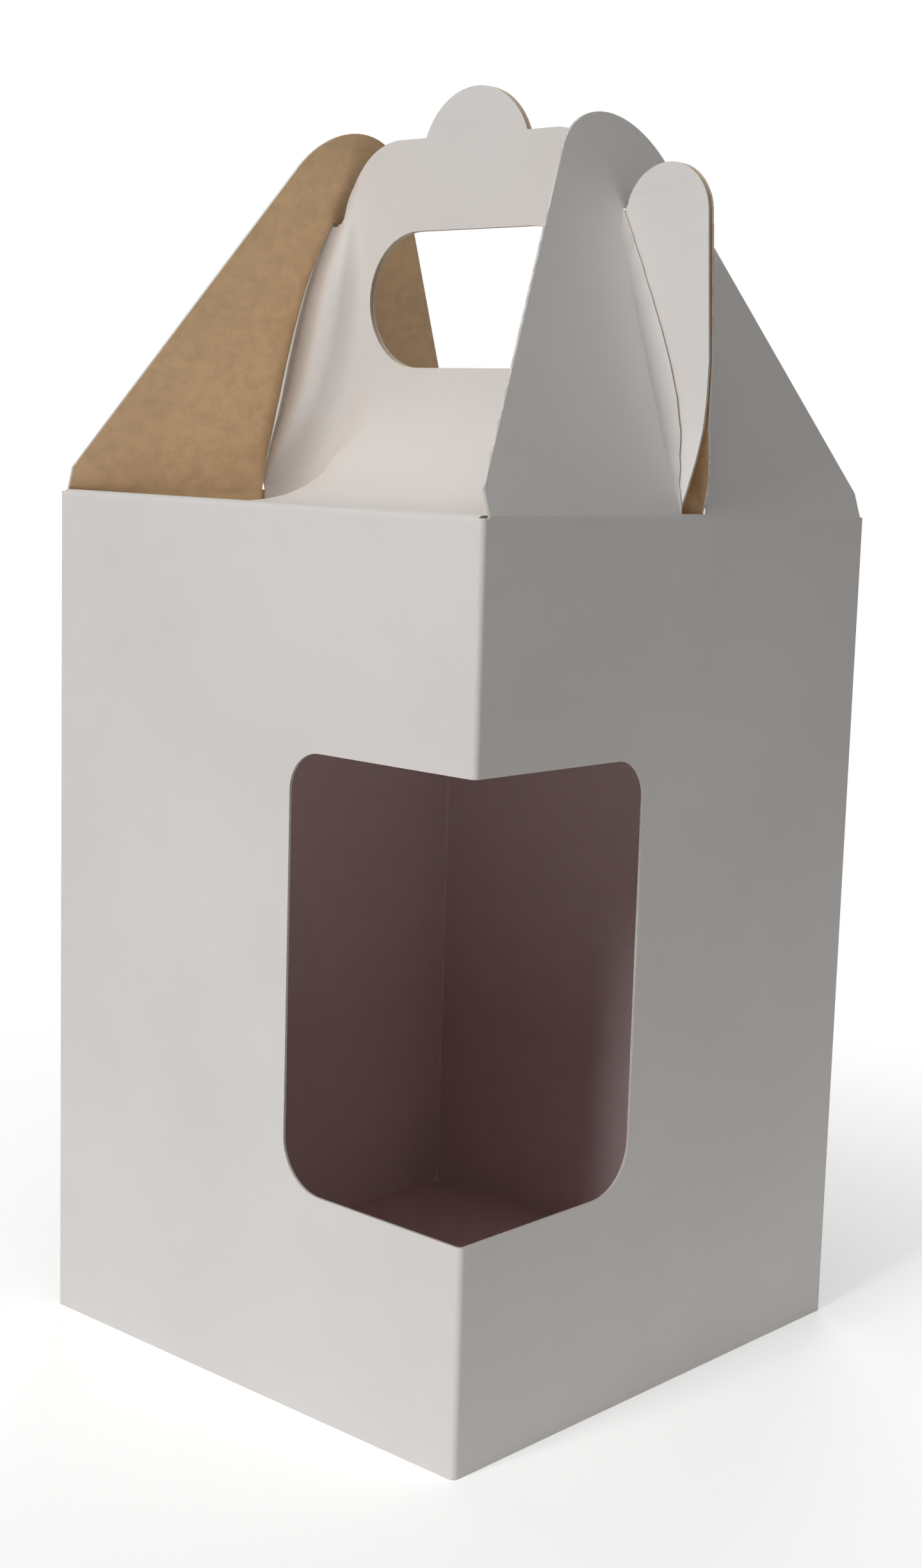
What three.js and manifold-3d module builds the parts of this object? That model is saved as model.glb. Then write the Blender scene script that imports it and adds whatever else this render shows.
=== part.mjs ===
import * as THREE from 'three';
import { mergeVertices } from 'three/addons/utils/BufferGeometryUtils.js';
import Module from 'manifold-3d';

// A carry carton for one mug, folded from a single sheet of board that is white outside and brown
// inside. The square body has a window around one corner. The front and back panels fold in at
// the shoulder and rise together as the handle, and the two gables lean in over them. The ears of
// the handle pass out through a slot in each gable and hook over the top of it.
// Millimetres, +Z up, origin under the middle of the base, handle parallel to X.

// Board
const boardThickness = 0.45;
const foldReach = 1.1;
const layerGap = 0.3;
const edgeGap = 0.35;

// Body
const bodySide = 100;
const bodyHeight = 148;
const cornerRadius = 1;
const seamFlapWidth = 13;
const sideFlapDepth = 34;
const backFlapDepth = 22;
const flapTaper = 7;

// Window around the corner at +X, -Y
const windowReach = 40;
const windowSill = 37.5;
const windowHead = 109.5;
const windowHeadRadius = 6.5;
const windowSillRadius = 8.5;

// Gables, with heights measured from the shoulder
const gableHeight = 64.5;
const gableCapRadius = 16;
const gableLean = 0.33;
const gableFootRise = 4;
const gableFootInset = 0.6;
const slotFootHeight = 0.4;
const slotHeight = 49;
const nearLipLift = 3.4;
const nearLipWidth = 2.4;
const farLipLift = 2;
const farLipWidth = 6;

// Handle, with heights measured from the shoulder
const roofDip = 3;
const handleBendReach = 30;
const shoulderTop = 62.8;
const scallopTop = 70.8;
const scallopRadius = 12.7;
const holeWidth = 50;
const holeSill = 23.3;
const holeHead = 47;

// Ears, with heights measured from the shoulder and depths from the middle of the handle panel.
// The ear at the near edge of its slot is almost flat, and the other is pushed well forward.
const notchWidth = 4;
const notchDepthBelowSlot = 0.8;
const earHeadRadius = 8.3;
const earHeadDrop = 0.6;
const earOverhang = 2.1;
const earBellyHeight = 25;
const earFootHeight = 0.3;
const earFootReach = 17;
const nearEarFootDepth = 2.2;
const nearCreaseDepth = 1.2;
const farEarFootDepth = 3;
const farCreaseDepth = 4.8;
const creaseFootHeight = 2;
const creaseFootInset = 1.2;
const creaseRise = 12;
const creaseFadeStart = 32;
const creaseFadeEnd = 60;
const creaseBow = 2.5;
const creaseInset = 0.4;
const creaseFootWidth = 8;
const creaseTopWidth = 3.6;
const bendFadeWidth = 14;
const bendFadeTopWidth = 4;

// How finely the curved sheets are divided, and how far they run past their outlines
const foldSteps = 6;
const bendSteps = 14;
const fadeSteps = 4;
const climbSteps = 4;
const earSteps = 2;
const gableSteps = 10;
const lipSteps = 3;
const slotSteps = 8;
const arcSteps = 12;
const wallLap = 3;
const lapOverlap = 0.5;
const sheetMargin = 1;

const bodyHalf = bodySide / 2;
const wallMiddle = bodyHalf - boardThickness / 2;
const wallInside = bodyHalf - boardThickness;
const handleOffset = (layerGap + boardThickness) / 2;
const roofRun = wallMiddle - handleOffset;
const notchHeight = slotHeight - notchDepthBelowSlot;
const notchRadius = notchWidth / 2;
const notchMiddle = notchHeight + notchRadius;
const earHeadHeight = notchHeight - earHeadDrop;
const earHeadX = bodyHalf - gableLean * slotHeight + edgeGap + earHeadRadius;
const earHeadInner = earHeadX - Math.sqrt(earHeadRadius ** 2 - (notchMiddle - earHeadHeight) ** 2);
const earEdge = bodyHalf + earOverhang;
const handleHalf = earHeadInner - notchWidth;
const shoulderRadius = shoulderTop - notchMiddle;
const creaseTop = handleHalf - creaseInset;
const foldHalf = bodyHalf - cornerRadius;
const throughBody = bodySide + 2 * bodyHeight;

const wasm = await Module();
wasm.setup();

// Closed solids and the geometry they come from

function solid(geometry) {
  const bare = geometry.clone();
  bare.deleteAttribute('normal');
  bare.deleteAttribute('uv');
  const merged = mergeVertices(bare, 1e-5);
  return new wasm.Manifold(new wasm.Mesh({
    numProp: 3,
    vertProperties: Float32Array.from(merged.attributes.position.array),
    triVerts: Uint32Array.from(merged.index.array),
  }));
}

function geometryOf(manifold) {
  const mesh = manifold.getMesh();
  const geometry = new THREE.BufferGeometry();
  geometry.setAttribute('position', new THREE.BufferAttribute(mesh.vertProperties, mesh.numProp));
  geometry.setIndex(new THREE.BufferAttribute(mesh.triVerts, 1));
  geometry.computeVertexNormals();
  return geometry;
}

function extruded(shape, depth) {
  return new THREE.ExtrudeGeometry(shape, { depth, bevelEnabled: false, curveSegments: arcSteps });
}

// A plan shape raised from one height to another.
function prismUp(shape, bottom, top) {
  return solid(extruded(shape, top - bottom).translate(0, 0, bottom));
}

// A shape drawn in X and Z, carried along Y.
function prismAlongY(shape, near, far) {
  return solid(extruded(shape, far - near).rotateX(Math.PI / 2).translate(0, far, 0));
}

// A shape drawn in Y and Z, carried along X.
function prismAlongX(shape, near, far) {
  const axes = new THREE.Matrix4().makeBasis(
    new THREE.Vector3(0, 1, 0),
    new THREE.Vector3(0, 0, 1),
    new THREE.Vector3(1, 0, 0),
  );
  return solid(extruded(shape, far - near).applyMatrix4(axes).translate(near, 0, 0));
}

function halfTurn(manifold) {
  return manifold.rotate([0, 0, 180]);
}

function rectangle(left, right, bottom, top) {
  return new THREE.Shape([
    new THREE.Vector2(left, bottom),
    new THREE.Vector2(right, bottom),
    new THREE.Vector2(right, top),
    new THREE.Vector2(left, top),
  ]);
}

function roundedSquare(half, radius) {
  const shape = new THREE.Shape();
  shape.absarc(half - radius, half - radius, radius, 0, Math.PI / 2);
  shape.absarc(radius - half, half - radius, radius, Math.PI / 2, Math.PI);
  shape.absarc(radius - half, radius - half, radius, Math.PI, 1.5 * Math.PI);
  shape.absarc(half - radius, radius - half, radius, 1.5 * Math.PI, 2 * Math.PI);
  shape.closePath();
  return shape;
}

// Steps from one value to another, both ends included.
function steps(from, to, count) {
  return Array.from({ length: count + 1 }, (_, i) => THREE.MathUtils.lerp(from, to, i / count));
}

// A bent sheet of board. pointAt gives the middle of the sheet at a row and a column, and the
// two faces lie half a thickness to either side of it.
function bentSheet(rows, columns, pointAt) {
  const middle = rows.map((row) => columns.map((column) => pointAt(row, column)));
  const across = new THREE.Vector3();
  const along = new THREE.Vector3();
  const front = [];
  const back = [];
  for (let i = 0; i < rows.length; i++) {
    for (let j = 0; j < columns.length; j++) {
      const right = middle[i][Math.min(j + 1, columns.length - 1)];
      const left = middle[i][Math.max(j - 1, 0)];
      const above = middle[Math.min(i + 1, rows.length - 1)][j];
      const below = middle[Math.max(i - 1, 0)][j];
      across.subVectors(right, left);
      along.subVectors(above, below);
      const half = across.clone().cross(along).setLength(boardThickness / 2);
      front.push(middle[i][j].clone().add(half));
      back.push(middle[i][j].clone().sub(half));
    }
  }
  const points = [...front, ...back];
  const geometry = new THREE.BufferGeometry().setFromPoints(points);
  geometry.setIndex(sheetTriangles(rows.length, columns.length));
  return solid(geometry);
}

// The triangles of both faces of a sheet and of the rim between them.
function sheetTriangles(rowCount, columnCount) {
  const triangles = [];
  const backStart = rowCount * columnCount;
  const at = (i, j) => i * columnCount + j;
  const quad = (a, b, c, d) => triangles.push(a, b, c, a, c, d);
  for (let i = 0; i + 1 < rowCount; i++) {
    for (let j = 0; j + 1 < columnCount; j++) {
      const corners = [at(i, j), at(i, j + 1), at(i + 1, j + 1), at(i + 1, j)];
      quad(...corners);
      quad(...corners.map((corner) => corner + backStart).reverse());
    }
  }
  const rim = [];
  for (let j = 0; j + 1 < columnCount; j++) rim.push(at(0, j));
  for (let i = 0; i + 1 < rowCount; i++) rim.push(at(i, columnCount - 1));
  for (let j = columnCount - 1; j > 0; j--) rim.push(at(rowCount - 1, j));
  for (let i = rowCount - 1; i > 0; i--) rim.push(at(i, 0));
  rim.forEach((corner, k) => {
    const next = rim[(k + 1) % rim.length];
    quad(corner, corner + backStart, next + backStart, next);
  });
  return triangles;
}

// Body: four walls with rounded folds, open at the shoulder between the corners

function walls() {
  const plan = roundedSquare(bodyHalf, cornerRadius);
  plan.holes.push(roundedSquare(wallInside, cornerRadius - boardThickness));
  const tube = prismUp(plan, 0, bodyHeight - boardThickness / 2);
  const shoulder = bodyHeight - wallLap;
  const across = prismUp(rectangle(-foldHalf, foldHalf, -bodySide, bodySide), shoulder, throughBody);
  const along = prismUp(rectangle(-bodySide, bodySide, -foldHalf, foldHalf), shoulder, throughBody);
  return tube.subtract(across).subtract(along);
}

// One half of the window, from the corner fold to its rounded side. The other half mirrors it.
function windowHalf() {
  const side = bodyHalf - windowReach;
  const shape = new THREE.Shape();
  shape.moveTo(bodySide, windowSill);
  shape.lineTo(bodySide, windowHead);
  shape.absarc(side + windowHeadRadius, windowHead - windowHeadRadius, windowHeadRadius,
    Math.PI / 2, Math.PI);
  shape.absarc(side + windowSillRadius, windowSill + windowSillRadius, windowSillRadius,
    Math.PI, 1.5 * Math.PI);
  shape.closePath();
  return shape;
}

function windowCut() {
  const depth = wallInside - cornerRadius;
  const frontHalf = prismAlongY(windowHalf(), -bodySide, -depth);
  const sideHalf = frontHalf.rotate([0, 0, 90]).mirror([0, 1, 0]);
  return frontHalf.add(sideHalf);
}

// The strip of board that is glued to the inside of the back wall.
function seamFlap() {
  const shape = rectangle(wallInside - seamFlapWidth, wallInside, wallInside - boardThickness, wallInside);
  return prismUp(shape, 2 * boardThickness, bodyHeight - 2 * wallLap);
}

// Bottom: one panel folded in from the front wall, glued to the flaps of the other three walls

function bottomFlap(depth, lap) {
  const shape = new THREE.Shape([
    new THREE.Vector2(wallInside - boardThickness - flapTaper / 4, -wallInside),
    new THREE.Vector2(wallInside - flapTaper, depth - wallInside),
    new THREE.Vector2(flapTaper - wallInside, depth - wallInside),
    new THREE.Vector2(boardThickness + flapTaper / 4 - wallInside, -wallInside),
  ]);
  return prismUp(shape, lap * boardThickness, (lap + 1) * boardThickness);
}

function bottom() {
  const reach = wallInside - layerGap;
  const panel = prismUp(rectangle(-reach, reach, -wallInside, reach), 0, boardThickness);
  const sideFlap = bottomFlap(sideFlapDepth, 1);
  return panel
    .add(halfTurn(bottomFlap(backFlapDepth, 1)))
    .add(sideFlap.rotate([0, 0, 90]))
    .add(sideFlap.rotate([0, 0, -90]));
}

// Creases and depths of the ears, which the slots of the gables follow

// Distance of the ear's crease from the middle of the panel at a height above the shoulder.
function creaseAt(height) {
  const share = THREE.MathUtils.clamp(
    (height - creaseFootHeight) / (notchHeight - creaseFootHeight), 0, 1);
  const creaseFoot = bodyHalf - creaseFootInset;
  return creaseTop + (creaseFoot - creaseTop) * (1 - share) ** creaseBow;
}

// How far forward of the panel's middle the sheet stands at a place on or outside the crease.
function earDepth(x, height, footDepth, creaseDepth) {
  const rise = THREE.MathUtils.smoothstep(height, 0, creaseRise);
  const fall = 1 - THREE.MathUtils.smoothstep(height, creaseFadeStart, creaseFadeEnd);
  const atCrease = THREE.MathUtils.lerp(footDepth, creaseDepth, rise) * fall;
  const atEdge = footDepth * (1 - THREE.MathUtils.smoothstep(height, 0, earFootReach));
  const crease = creaseAt(height);
  const share = THREE.MathUtils.clamp((x - crease) / (earEdge - crease), 0, 1);
  return THREE.MathUtils.lerp(atCrease, atEdge, share);
}

function nearEarDepth(x, height) {
  return earDepth(x, height, nearEarFootDepth, nearCreaseDepth);
}

function farEarDepth(x, height) {
  return earDepth(x, height, farEarFootDepth, farCreaseDepth);
}

// Gables: flat, leaning in over the handle, with the lips of the slot pushed out by the ears

function gableInset(height) {
  return gableLean * Math.max(height, 0);
}

// Distance of a slot's edge from the middle of the box, where an ear passes it with a clearance.
function slotEdge(height, depthOf) {
  return handleOffset + depthOf(bodyHalf - gableInset(height), height) + boardThickness / 2 + layerGap;
}

const slotTopEdge = slotEdge(slotHeight, nearEarDepth);
const nearLipFoot = slotTopEdge + nearLipWidth;
const farLipEdge = slotEdge(slotHeight / 2, farEarDepth);

// How far the sheet beside the slot is pushed out: a narrow turned lip on the near side of the
// slot, and a wide soft one on its far side.
function slotLip(y, height) {
  if (height < 0 || height > slotHeight) return 0;
  const swell = Math.sin(Math.PI * height / slotHeight);
  if (y < 0) return nearLipLift * swell * THREE.MathUtils.clamp((y + nearLipFoot) / nearLipWidth, 0, 1);
  const nearness = 1 - THREE.MathUtils.clamp((y - farLipEdge) / farLipWidth, 0, 1);
  return farLipLift * swell * nearness ** 2;
}

// Gable outline in Y and height: a trapezium whose sides run into a round cap.
function gableOutline() {
  const foot = foldHalf - gableFootInset;
  const capHeight = gableHeight - gableCapRadius;
  const rise = capHeight - gableFootRise;
  const toCap = Math.hypot(foot, rise);
  const side = Math.atan2(rise, foot) + Math.asin(gableCapRadius / toCap);
  const tangent = Math.PI / 2 - side;
  const shoulder = bodyHeight;
  const shape = new THREE.Shape();
  shape.moveTo(-foldHalf, shoulder - bodyHeight / 2);
  shape.lineTo(foldHalf, shoulder - bodyHeight / 2);
  shape.lineTo(foldHalf, shoulder - foldReach / 2);
  shape.lineTo(foot, shoulder);
  shape.lineTo(foot, shoulder + gableFootRise);
  shape.absarc(0, shoulder + capHeight, gableCapRadius, tangent, Math.PI - tangent);
  shape.lineTo(-foot, shoulder + gableFootRise);
  shape.lineTo(-foot, shoulder);
  shape.lineTo(-foldHalf, shoulder - foldReach / 2);
  shape.closePath();
  return shape;
}

function slotOutline() {
  const heights = steps(slotFootHeight, slotHeight, slotSteps);
  const near = heights.map((height) => new THREE.Vector2(
    -slotEdge(height, nearEarDepth), bodyHeight + height));
  const far = heights.map((height) => new THREE.Vector2(
    slotEdge(height, farEarDepth), bodyHeight + height));
  return new THREE.Shape([...far, ...near.reverse()]);
}

function rightGable() {
  const rows = [-wallLap - lapOverlap, -wallLap, -foldReach / 2, ...steps(0, slotHeight, gableSteps),
    gableHeight + sheetMargin];
  const columns = [
    -foldHalf,
    -nearLipFoot,
    -slotTopEdge,
    ...steps(farLipEdge, farLipEdge + farLipWidth, lipSteps),
    foldHalf,
  ];
  const sheet = bentSheet(rows, columns, (height, y) => new THREE.Vector3(
    wallMiddle - gableInset(height) + slotLip(y, height),
    y,
    bodyHeight + height,
  ));
  const outline = prismAlongX(gableOutline(), 0, bodySide);
  const slot = prismAlongX(slotOutline(), 0, bodySide);
  return sheet.intersect(outline).subtract(slot);
}

// Handle panels: in from the wall as a roof, then up beside the middle of the box

// The folded path of the panel as sharp lines: up the wall, in along the roof, up the handle.
function foldedPath(path) {
  const roofHeight = -roofDip * THREE.MathUtils.clamp(path / roofRun, 0, 1);
  const inward = THREE.MathUtils.clamp(path, 0, roofRun);
  const up = Math.min(path, 0) + Math.max(path - roofRun, 0);
  return new THREE.Vector2(inward - wallMiddle, bodyHeight + roofHeight + up);
}

// The same path with its corner at a place eased over a reach to either side.
function easedPath(path, corner, reach) {
  const share = (path - corner + reach) / (2 * reach);
  if (share <= 0 || share >= 1) return foldedPath(path);
  const curve = new THREE.QuadraticBezierCurve(
    foldedPath(corner - reach),
    foldedPath(corner),
    foldedPath(corner + reach),
  );
  return curve.getPoint(share);
}

function tightPath(path) {
  if (path < roofRun / 2) return easedPath(path, 0, foldReach);
  return easedPath(path, roofRun, foldReach);
}

function softPath(path) {
  if (path < roofRun / 2) return easedPath(path, 0, foldReach);
  return easedPath(path, roofRun, handleBendReach);
}

// Width of the stretch that climbs from the handle's flat middle to the crease.
function climbWidth(height) {
  const share = THREE.MathUtils.clamp(height / notchHeight, 0, 1);
  return THREE.MathUtils.lerp(creaseFootWidth, creaseTopWidth, share);
}

// Where the wide bend of the middle starts to tighten towards the ear.
function fadeStartAt(height) {
  const share = THREE.MathUtils.clamp(height / notchHeight, 0, 1);
  const fade = THREE.MathUtils.lerp(bendFadeWidth, bendFadeTopWidth, share);
  return creaseAt(height) - climbWidth(height) - fade;
}

// Stations across the panel: shares 0 to 1 fade the wide bend, 1 to 2 climb to the crease, 2 to 3
// cross the ear as far as the gable, and 4 is past its free edge.
function panelStations() {
  const half = [
    ...steps(0, 1, fadeSteps),
    ...steps(1, 2, climbSteps).slice(1),
    ...steps(2, 3, earSteps).slice(1),
    4,
  ];
  return [
    ...half.toReversed().map((share) => ({ side: -1, share })),
    ...half.map((share) => ({ side: 1, share })),
  ];
}

function panelPoint(path, { side, share }) {
  const height = path - roofRun - roofDip;
  const crease = creaseAt(height);
  const valley = crease - climbWidth(height);
  const gable = Math.max(bodyHalf - gableInset(height), crease + sheetMargin);
  const places = [fadeStartAt(height), valley, crease, gable, earEdge + edgeGap];
  const from = Math.min(Math.floor(share), places.length - 2);
  const x = THREE.MathUtils.lerp(places[from], places[from + 1], share - from);
  const fade = THREE.MathUtils.smoothstep(share, 0, 1);
  const climb = THREE.MathUtils.clamp(share - 1, 0, 1) ** 2;
  const depth = side > 0 ? nearEarDepth(x, height) : farEarDepth(x, height);
  const forward = depth * climb * THREE.MathUtils.smoothstep(path, roofRun / 2, roofRun);
  const point = softPath(path).lerp(tightPath(path), fade);
  return new THREE.Vector3(side * x, point.x - forward, point.y);
}

// Half of the handle's outline in X and height, from the top of its middle scallop down to
// the shoulder. The other half mirrors it.
function handleOutlineHalf() {
  const scallopHeight = scallopTop - scallopRadius;
  const scallopEnd = Math.asin((shoulderTop - scallopHeight) / scallopRadius);
  const headStart = Math.PI - Math.asin((notchMiddle - earHeadHeight) / earHeadRadius);
  const half = new THREE.Path();
  half.absarc(0, scallopHeight, scallopRadius, Math.PI / 2, scallopEnd, true);
  half.absarc(handleHalf - shoulderRadius, shoulderTop - shoulderRadius, shoulderRadius,
    Math.PI / 2, 0, true);
  half.absarc(handleHalf + notchRadius, notchMiddle, notchRadius, Math.PI, 2 * Math.PI);
  half.absarc(earHeadX, earHeadHeight, earHeadRadius, headStart, 0, true);
  half.lineTo(earEdge, earBellyHeight);
  half.quadraticCurveTo(earEdge, earBellyHeight / 3, foldHalf, earFootHeight);
  half.lineTo(foldHalf, -bodyHeight / 2);
  return half;
}

function handleOutline() {
  const half = handleOutlineHalf().getPoints(arcSteps);
  const other = half.map((point) => new THREE.Vector2(-point.x, point.y)).reverse();
  const raised = [...half, ...other].map((point) => point.setY(point.y + bodyHeight));
  return new THREE.Shape(raised.slice(0, -1));
}

function handHole() {
  const radius = (holeHead - holeSill) / 2;
  const middle = bodyHeight + (holeHead + holeSill) / 2;
  const shape = new THREE.Shape();
  shape.absarc(holeWidth / 2 - radius, middle, radius, -Math.PI / 2, Math.PI / 2);
  shape.absarc(radius - holeWidth / 2, middle, radius, Math.PI / 2, 1.5 * Math.PI);
  shape.closePath();
  return shape;
}

function frontHandlePanel() {
  const bendEnd = roofRun + handleBendReach;
  const rows = [
    -wallLap - lapOverlap,
    -wallLap,
    ...steps(-foldReach, foldReach, foldSteps),
    ...steps(roofRun - handleBendReach, bendEnd, bendSteps),
    ...steps(bendEnd, roofRun + roofDip + creaseFadeEnd, bendSteps / 2).slice(1),
    roofRun + roofDip + scallopTop + sheetMargin,
  ];
  const sheet = bentSheet(rows, panelStations(), panelPoint);
  const outline = prismAlongY(handleOutline(), -bodySide, 0);
  const hole = prismAlongY(handHole(), -bodyHalf / 2, 0);
  return sheet.intersect(outline).subtract(hole);
}

// The whole folded sheet

const boardWhite = new THREE.MeshStandardMaterial({ color: 0xe4e1dc, roughness: 0.6, metalness: 0 });

function carton() {
  const gable = rightGable();
  const otherGable = halfTurn(gable);
  const handlePanel = frontHandlePanel();
  const sheet = walls()
    .add(seamFlap())
    .add(bottom())
    .add(gable)
    .add(otherGable)
    .add(handlePanel)
    .add(halfTurn(handlePanel))
    .subtract(windowCut());
  const mesh = new THREE.Mesh(geometryOf(sheet), boardWhite);
  mesh.name = 'carton';
  return mesh;
}

const mugBox = new THREE.Group();
mugBox.name = 'mug_box';
mugBox.add(carton());

export default mugBox;
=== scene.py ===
import math

import bmesh
import bpy
from mathutils import Euler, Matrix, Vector
from mathutils.bvhtree import BVHTree


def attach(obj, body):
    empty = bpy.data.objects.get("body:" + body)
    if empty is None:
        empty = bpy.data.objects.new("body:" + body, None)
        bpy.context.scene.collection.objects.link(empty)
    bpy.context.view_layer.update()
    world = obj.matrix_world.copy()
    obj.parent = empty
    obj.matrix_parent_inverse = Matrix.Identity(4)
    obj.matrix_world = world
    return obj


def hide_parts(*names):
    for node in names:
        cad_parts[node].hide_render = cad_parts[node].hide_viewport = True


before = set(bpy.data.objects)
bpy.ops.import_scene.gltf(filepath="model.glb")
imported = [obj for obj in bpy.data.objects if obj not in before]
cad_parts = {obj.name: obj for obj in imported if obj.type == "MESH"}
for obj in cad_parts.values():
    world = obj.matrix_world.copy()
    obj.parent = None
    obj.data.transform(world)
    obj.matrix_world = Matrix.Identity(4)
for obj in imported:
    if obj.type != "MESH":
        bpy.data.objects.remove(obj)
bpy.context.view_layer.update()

# Camera
# A normal lens just above the height of the shoulder, almost straight before the corner with the
# window. The lens and the small shift are set for a frame of 1440 by 2448 pixels, and the shift sets the
# box a little off its middle.
camera_degrees = (81.344, -2.011, 41.241)
camera = bpy.data.objects.new("camera", bpy.data.cameras.new("camera"))
bpy.context.collection.objects.link(camera)
camera.location = (0.26972, -0.28772, 0.15858)
camera.rotation_euler = Euler([math.radians(angle) for angle in camera_degrees])
camera.data.lens = 51.14
camera.data.shift_x = -0.0531
camera.data.clip_start = 0.01
bpy.context.scene.camera = camera
bpy.context.scene.view_settings.view_transform = "Standard"

# Carton
# One sheet of solid board, folded and glued, white clay coating outside and brown kraft inside.
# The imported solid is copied, its loose triangles joined, and the flat panels kept flat in shade.
joined_within = 2e-6
crease_angle = math.radians(24)
carton_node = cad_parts["carton"]
carton = bpy.data.objects.new("carton_sheet", carton_node.data.copy())
bpy.context.collection.objects.link(carton)
for other in bpy.context.selected_objects:
    other.select_set(False)
carton.select_set(True)
bpy.context.view_layer.objects.active = carton
bpy.ops.object.mode_set(mode="EDIT")
bpy.ops.mesh.select_all(action="SELECT")
bpy.ops.mesh.remove_doubles(threshold=joined_within)
bpy.ops.object.mode_set(mode="OBJECT")
carton.data.materials.clear()
bpy.ops.object.shade_smooth_by_angle(angle=crease_angle)

board_thickness = 0.00045
thickest_lap = 2.6 * board_thickness
just_inside = 1e-6
shoulder_height = 0.148
roof_starts_at = shoulder_height - 0.006
gable_least_x = 0.93
gable_most_y = 0.12
level_least_z = 0.7
steepness_weight = 2.5

white_slot = 0
kraft_slot = 1
edge_slot = 2


def board_side(face, tree):
    """Tells which side of the sheet a face is on. A face with no board close behind it is a cut edge."""
    middle = face.calc_center_median()
    normal = face.normal
    hit = tree.ray_cast(middle - normal * just_inside, -normal, thickest_lap)
    if hit[0] is None:
        return edge_slot
    if abs(normal.x) > gable_least_x and abs(normal.y) < gable_most_y:
        faces_out = normal.x * middle.x > 0
    elif middle.z > roof_starts_at:
        front = -1 if middle.y < 0 else 1
        faces_out = steepness_weight * normal.y * front + normal.z > 0
    elif abs(normal.z) > level_least_z:
        faces_out = normal.z < 0 and middle.z < board_thickness / 2
    else:
        faces_out = normal.x * middle.x + normal.y * middle.y > 0
    return white_slot if faces_out else kraft_slot


sheet = bmesh.new()
sheet.from_mesh(carton.data)
sheet_tree = BVHTree.FromBMesh(sheet)
sides = [board_side(face, sheet_tree) for face in sheet.faces]
sheet.free()
for polygon, side in zip(carton.data.polygons, sides):
    polygon.material_index = side

weighted = carton.modifiers.new("flat_panels", "WEIGHTED_NORMAL")
weighted.mode = "FACE_AREA"
weighted.weight = 50
weighted.keep_sharp = True
bpy.ops.object.modifier_apply(modifier=weighted.name)


def add_node(tree, kind, **values):
    """Adds a shader node and sets its properties and its input defaults."""
    node = tree.nodes.new(kind)
    for name, value in values.items():
        if hasattr(node, name):
            setattr(node, name, value)
        else:
            node.inputs[name.replace("_", " ").title()].default_value = value
    return node


def add_ramp(tree, low, low_colour, high, high_colour):
    """Adds a ramp that goes from one colour to another between a low and a high value."""
    ramp = tree.nodes.new("ShaderNodeValToRGB")
    first, last = ramp.color_ramp.elements
    first.position = low
    first.color = (*low_colour, 1)
    last.position = high
    last.color = (*high_colour, 1)
    return ramp


def paper_surface():
    """Fine tooth and slow unevenness of pressed board, shared by both sides of the sheet."""
    wave_height = 2.2
    group = bpy.data.node_groups.new("paper_surface", "ShaderNodeTree")
    sockets = group.interface
    sockets.new_socket("Vector", in_out="INPUT", socket_type="NodeSocketVector")
    sockets.new_socket("Tooth", in_out="INPUT", socket_type="NodeSocketFloat")
    sockets.new_socket("Cloud", in_out="OUTPUT", socket_type="NodeSocketFloat")
    sockets.new_socket("Height", in_out="OUTPUT", socket_type="NodeSocketFloat")
    inputs = group.nodes.new("NodeGroupInput")
    outputs = group.nodes.new("NodeGroupOutput")
    tooth = add_node(group, "ShaderNodeTexNoise", scale=2600.0, detail=3.0, roughness=0.6)
    wave = add_node(group, "ShaderNodeTexNoise", scale=38.0, detail=2.0, roughness=0.5)
    cloud = add_node(group, "ShaderNodeTexNoise", scale=24.0, detail=4.0, roughness=0.55)
    fine = add_node(group, "ShaderNodeMath", operation="MULTIPLY")
    total = add_node(group, "ShaderNodeMath", operation="MULTIPLY_ADD")
    total.inputs[1].default_value = wave_height
    for texture in (tooth, wave, cloud):
        group.links.new(inputs.outputs["Vector"], texture.inputs["Vector"])
    group.links.new(tooth.outputs[0], fine.inputs[0])
    group.links.new(inputs.outputs["Tooth"], fine.inputs[1])
    group.links.new(wave.outputs[0], total.inputs[0])
    group.links.new(fine.outputs[0], total.inputs[2])
    group.links.new(cloud.outputs[0], outputs.inputs["Cloud"])
    group.links.new(total.outputs[0], outputs.inputs["Height"])
    return group


paper = paper_surface()


def board_material(name, dark, pale, roughness, tooth, bump):
    """One finish of the board: a slow change between two near colours, with a fine tooth."""
    cloud_low = 0.35
    cloud_high = 0.65
    tooth_depth = 0.0001
    material = bpy.data.materials.new(name)
    material.use_nodes = True
    tree = material.node_tree
    shader = tree.nodes["Principled BSDF"]
    shader.inputs["Roughness"].default_value = roughness
    place = tree.nodes.new("ShaderNodeTexCoord")
    surface = add_node(tree, "ShaderNodeGroup", node_tree=paper)
    surface.inputs["Tooth"].default_value = tooth
    colours = add_ramp(tree, cloud_low, dark, cloud_high, pale)
    relief = add_node(tree, "ShaderNodeBump", strength=bump, distance=tooth_depth)
    tree.links.new(place.outputs["Object"], surface.inputs["Vector"])
    tree.links.new(surface.outputs["Cloud"], colours.inputs["Fac"])
    tree.links.new(colours.outputs["Color"], shader.inputs["Base Color"])
    tree.links.new(surface.outputs["Height"], relief.inputs["Height"])
    tree.links.new(relief.outputs["Normal"], shader.inputs["Normal"])
    return material


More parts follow.
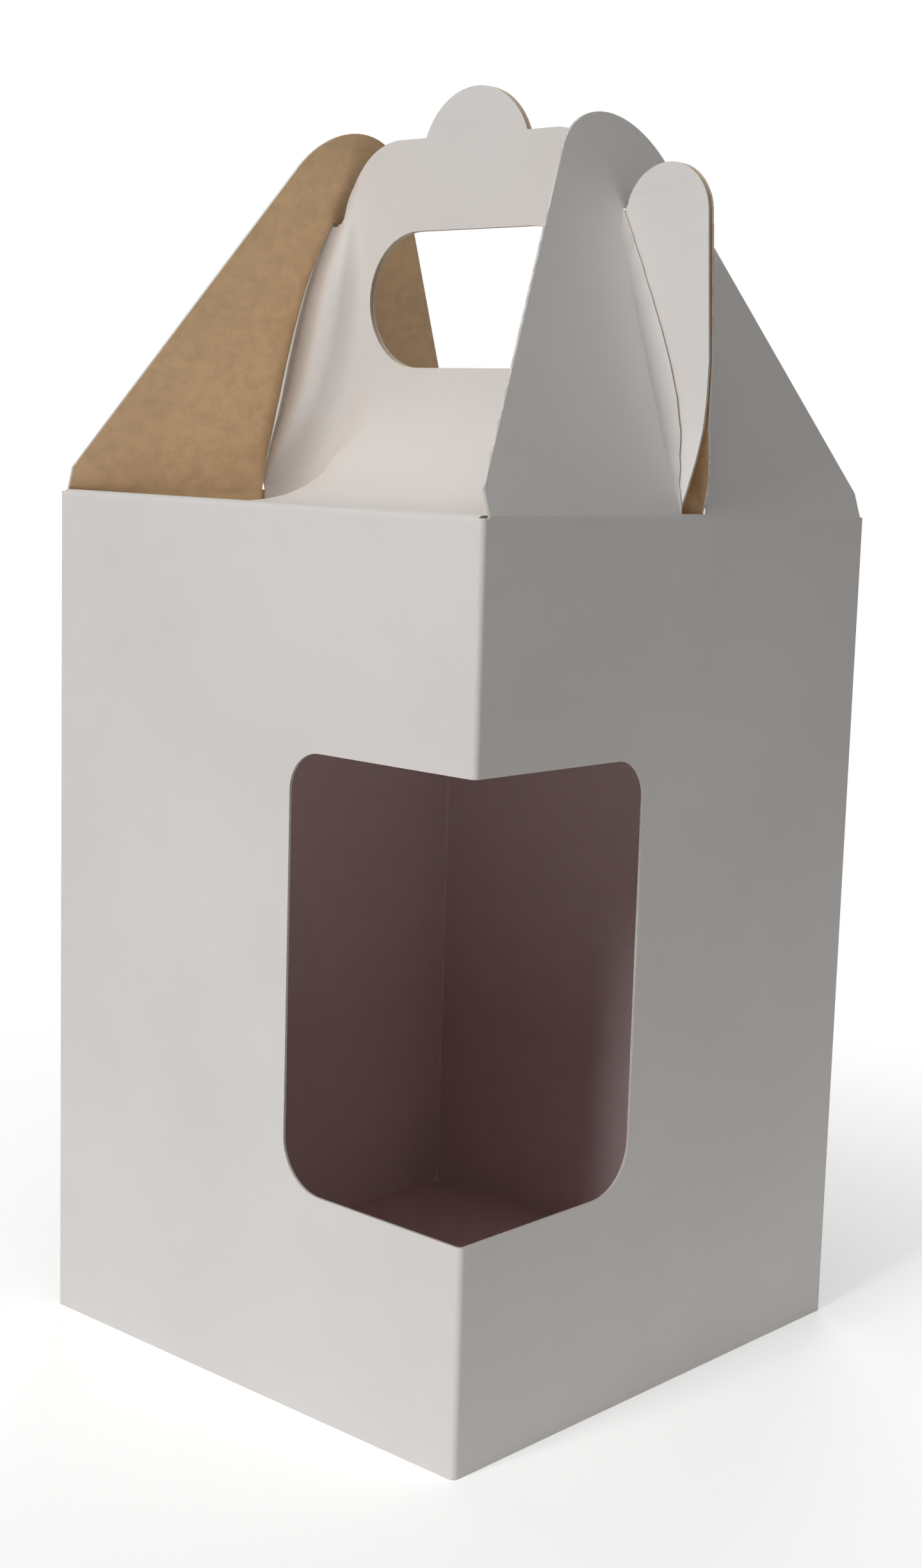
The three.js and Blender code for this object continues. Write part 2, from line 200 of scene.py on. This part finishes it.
white_side = board_material(
    "white_coating",
    dark=(0.70, 0.67, 0.65),
    pale=(0.735, 0.705, 0.685),
    roughness=0.55,
    tooth=0.5,
    bump=0.25,
)
# The kraft colours are the lining's own brown, lifted well above real kraft: painted light standing in
# for light that shines through the board and bounces onto it.
kraft_side = board_material(
    "kraft_lining",
    dark=(0.81, 0.58, 0.345),
    pale=(0.92, 0.665, 0.40),
    roughness=0.85,
    tooth=1.2,
    bump=0.5,
)
cut_edge = board_material(
    "cut_edge",
    dark=(0.50, 0.46, 0.42),
    pale=(0.60, 0.56, 0.52),
    roughness=0.9,
    tooth=1.0,
    bump=0.4,
)


def add_kraft_fibres_and_painted_shade(material):
    """Short fibres and flecks of unbleached pulp, and painted shade: the lining below the shoulder is
    painted greyer, for the dim light inside the closed box.
    """
    fleck_low = 0.30
    fleck_high = 0.62
    dark_fleck = (0.85, 0.83, 0.81)
    pale_fleck = (1.10, 1.08, 1.06)
    fibre_share = 0.6
    # Painted shade: below the shoulder the lining turns to this greyer colour, standing in for the dim
    # light inside the closed box.
    painted_shade_lining = (0.84, 0.70, 0.71, 1)
    painted_shade_below = shoulder_height - 0.02
    tree = material.node_tree
    shader = tree.nodes["Principled BSDF"]
    kraft = shader.inputs["Base Color"].links[0].from_socket
    place = tree.nodes.new("ShaderNodeTexCoord")
    stretch = add_node(tree, "ShaderNodeMapping", scale=(1.0, 0.8, 1.2))
    fibres = add_node(tree, "ShaderNodeTexNoise", scale=380.0, detail=6.0, roughness=0.6)
    flecks = add_ramp(tree, fleck_low, dark_fleck, fleck_high, pale_fleck)
    blend = add_node(tree, "ShaderNodeMix", data_type="RGBA", blend_type="MULTIPLY", factor=fibre_share)
    tree.links.new(place.outputs["Object"], stretch.inputs["Vector"])
    tree.links.new(stretch.outputs["Vector"], fibres.inputs["Vector"])
    tree.links.new(fibres.outputs[0], flecks.inputs["Fac"])
    tree.links.new(kraft, blend.inputs["A"])
    tree.links.new(flecks.outputs["Color"], blend.inputs["B"])
    # Painted shade by height: the lining goes from its own brown at the shoulder to the greyer colour
    # further down.
    height = tree.nodes.new("ShaderNodeSeparateXYZ")
    painted_shade_fade = add_node(tree, "ShaderNodeMapRange", interpolation_type="SMOOTHSTEP")
    painted_shade_fade.inputs["From Min"].default_value = shoulder_height
    painted_shade_fade.inputs["From Max"].default_value = painted_shade_below
    painted_shade_mix = add_node(tree, "ShaderNodeMix", data_type="RGBA")
    painted_shade_mix.inputs["B"].default_value = painted_shade_lining
    tree.links.new(place.outputs["Object"], height.inputs["Vector"])
    tree.links.new(height.outputs["Z"], painted_shade_fade.inputs["Value"])
    tree.links.new(painted_shade_fade.outputs["Result"], painted_shade_mix.inputs["Factor"])
    tree.links.new(blend.outputs["Result"], painted_shade_mix.inputs["A"])
    tree.links.new(painted_shade_mix.outputs["Result"], shader.inputs["Base Color"])


add_kraft_fibres_and_painted_shade(kraft_side)
for material in (white_side, kraft_side, cut_edge):
    carton.data.materials.append(material)
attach(carton, "root")
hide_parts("carton")

# Floor
# A plain pale sweep of paper, far wider than the view. It keeps the box's soft shadow and fades into
# the white behind it. Close to the box it glows, a painted glow that throws a little light up onto the
# walls.
floor_width = 8
floor_colour = (0.90, 0.90, 0.90, 1)
fade_starts_at = 0.06
fade_ends_at = 0.24
painted_glow_near_box = 0.22
light_seen = 0.30
bpy.ops.mesh.primitive_plane_add(size=floor_width, location=(0, 0, 0))
floor = bpy.context.object
floor.name = "floor"
floor_paper = bpy.data.materials.new("floor_paper")
floor_paper.use_nodes = True
floor_tree = floor_paper.node_tree
floor_out = floor_tree.nodes["Material Output"]
floor_shader = floor_tree.nodes["Principled BSDF"]
floor_shader.inputs["Base Color"].default_value = floor_colour
floor_shader.inputs["Roughness"].default_value = 1.0
floor_shader.inputs["Specular IOR Level"].default_value = 0.0
floor_shader.inputs["Emission Color"].default_value = (1, 1, 1, 1)
floor_ray = floor_tree.nodes.new("ShaderNodeLightPath")
floor_place = floor_tree.nodes.new("ShaderNodeTexCoord")
floor_range = add_node(floor_tree, "ShaderNodeVectorMath", operation="LENGTH")
floor_fade = add_node(floor_tree, "ShaderNodeMapRange", interpolation_type="SMOOTHSTEP")
floor_fade.inputs["From Min"].default_value = fade_starts_at
floor_fade.inputs["From Max"].default_value = fade_ends_at
floor_tree.links.new(floor_place.outputs["Object"], floor_range.inputs[0])
floor_tree.links.new(floor_range.outputs["Value"], floor_fade.inputs["Value"])
# Painted glow: the floor itself shines near the box and lights the walls, fading to nothing further out.
floor_painted_glow = add_node(floor_tree, "ShaderNodeMapRange", to_min=painted_glow_near_box, to_max=0.0)
floor_lift = floor_tree.nodes.new("ShaderNodeMix")
floor_lift.inputs["B"].default_value = light_seen
floor_tree.links.new(floor_fade.outputs["Result"], floor_painted_glow.inputs["Value"])
floor_tree.links.new(floor_painted_glow.outputs["Result"], floor_lift.inputs["A"])
floor_tree.links.new(floor_ray.outputs["Is Camera Ray"], floor_lift.inputs["Factor"])
floor_tree.links.new(floor_lift.outputs["Result"], floor_shader.inputs["Emission Strength"])
floor_share = add_node(floor_tree, "ShaderNodeMath", operation="MULTIPLY")
floor_white = floor_tree.nodes.new("ShaderNodeEmission")
floor_mix = floor_tree.nodes.new("ShaderNodeMixShader")
floor_tree.links.new(floor_fade.outputs["Result"], floor_share.inputs[0])
floor_tree.links.new(floor_ray.outputs["Is Camera Ray"], floor_share.inputs[1])
floor_tree.links.new(floor_share.outputs[0], floor_mix.inputs["Fac"])
floor_tree.links.new(floor_shader.outputs["BSDF"], floor_mix.inputs[1])
floor_tree.links.new(floor_white.outputs["Emission"], floor_mix.inputs[2])
floor_tree.links.new(floor_mix.outputs["Shader"], floor_out.inputs["Surface"])
floor.data.materials.append(floor_paper)

# Light
# A soft lamp straight before the front wall, wider ones above and behind, and a faint pale room as
# the fill. The room is plain white where it is seen directly.
room_colour = (0.97, 0.98, 1.0, 1)
room_strength = 0.055
world = bpy.data.worlds.new("room")
world.use_nodes = True
bpy.context.scene.world = world
room_tree = world.node_tree
room_out = room_tree.nodes["World Output"]
room_light = room_tree.nodes["Background"]
room_light.inputs["Color"].default_value = room_colour
room_light.inputs["Strength"].default_value = room_strength
room_white = room_tree.nodes.new("ShaderNodeBackground")
room_white.inputs["Color"].default_value = (1, 1, 1, 1)
room_ray = room_tree.nodes.new("ShaderNodeLightPath")
room_mix = room_tree.nodes.new("ShaderNodeMixShader")
room_tree.links.new(room_ray.outputs["Is Camera Ray"], room_mix.inputs["Fac"])
room_tree.links.new(room_light.outputs["Background"], room_mix.inputs[1])
room_tree.links.new(room_white.outputs["Background"], room_mix.inputs[2])
room_tree.links.new(room_mix.outputs["Shader"], room_out.inputs["Surface"])

middle_of_box = Vector((0, 0, 0.11))


def soft_lamp(name, place, size, watts, colour):
    """A square lamp that points at the middle of the box."""
    lamp = bpy.data.objects.new(name, bpy.data.lights.new(name, "AREA"))
    bpy.context.collection.objects.link(lamp)
    lamp.location = place
    aim = middle_of_box - Vector(place)
    lamp.rotation_euler = aim.to_track_quat("-Z", "Y").to_euler()
    lamp.data.size = size
    lamp.data.energy = watts
    lamp.data.color = colour


soft_lamp("key_lamp", place=(0.02, -1.5, 0.9), size=0.5, watts=13.5, colour=(1.0, 1.0, 0.995))
soft_lamp("top_lamp", place=(0.2, -0.3, 1.5), size=1.0, watts=8.1, colour=(1.0, 1.0, 0.99))
soft_lamp("back_lamp", place=(-1.0, 1.3, 0.9), size=0.9, watts=9.0, colour=(1.0, 1.0, 1.0))
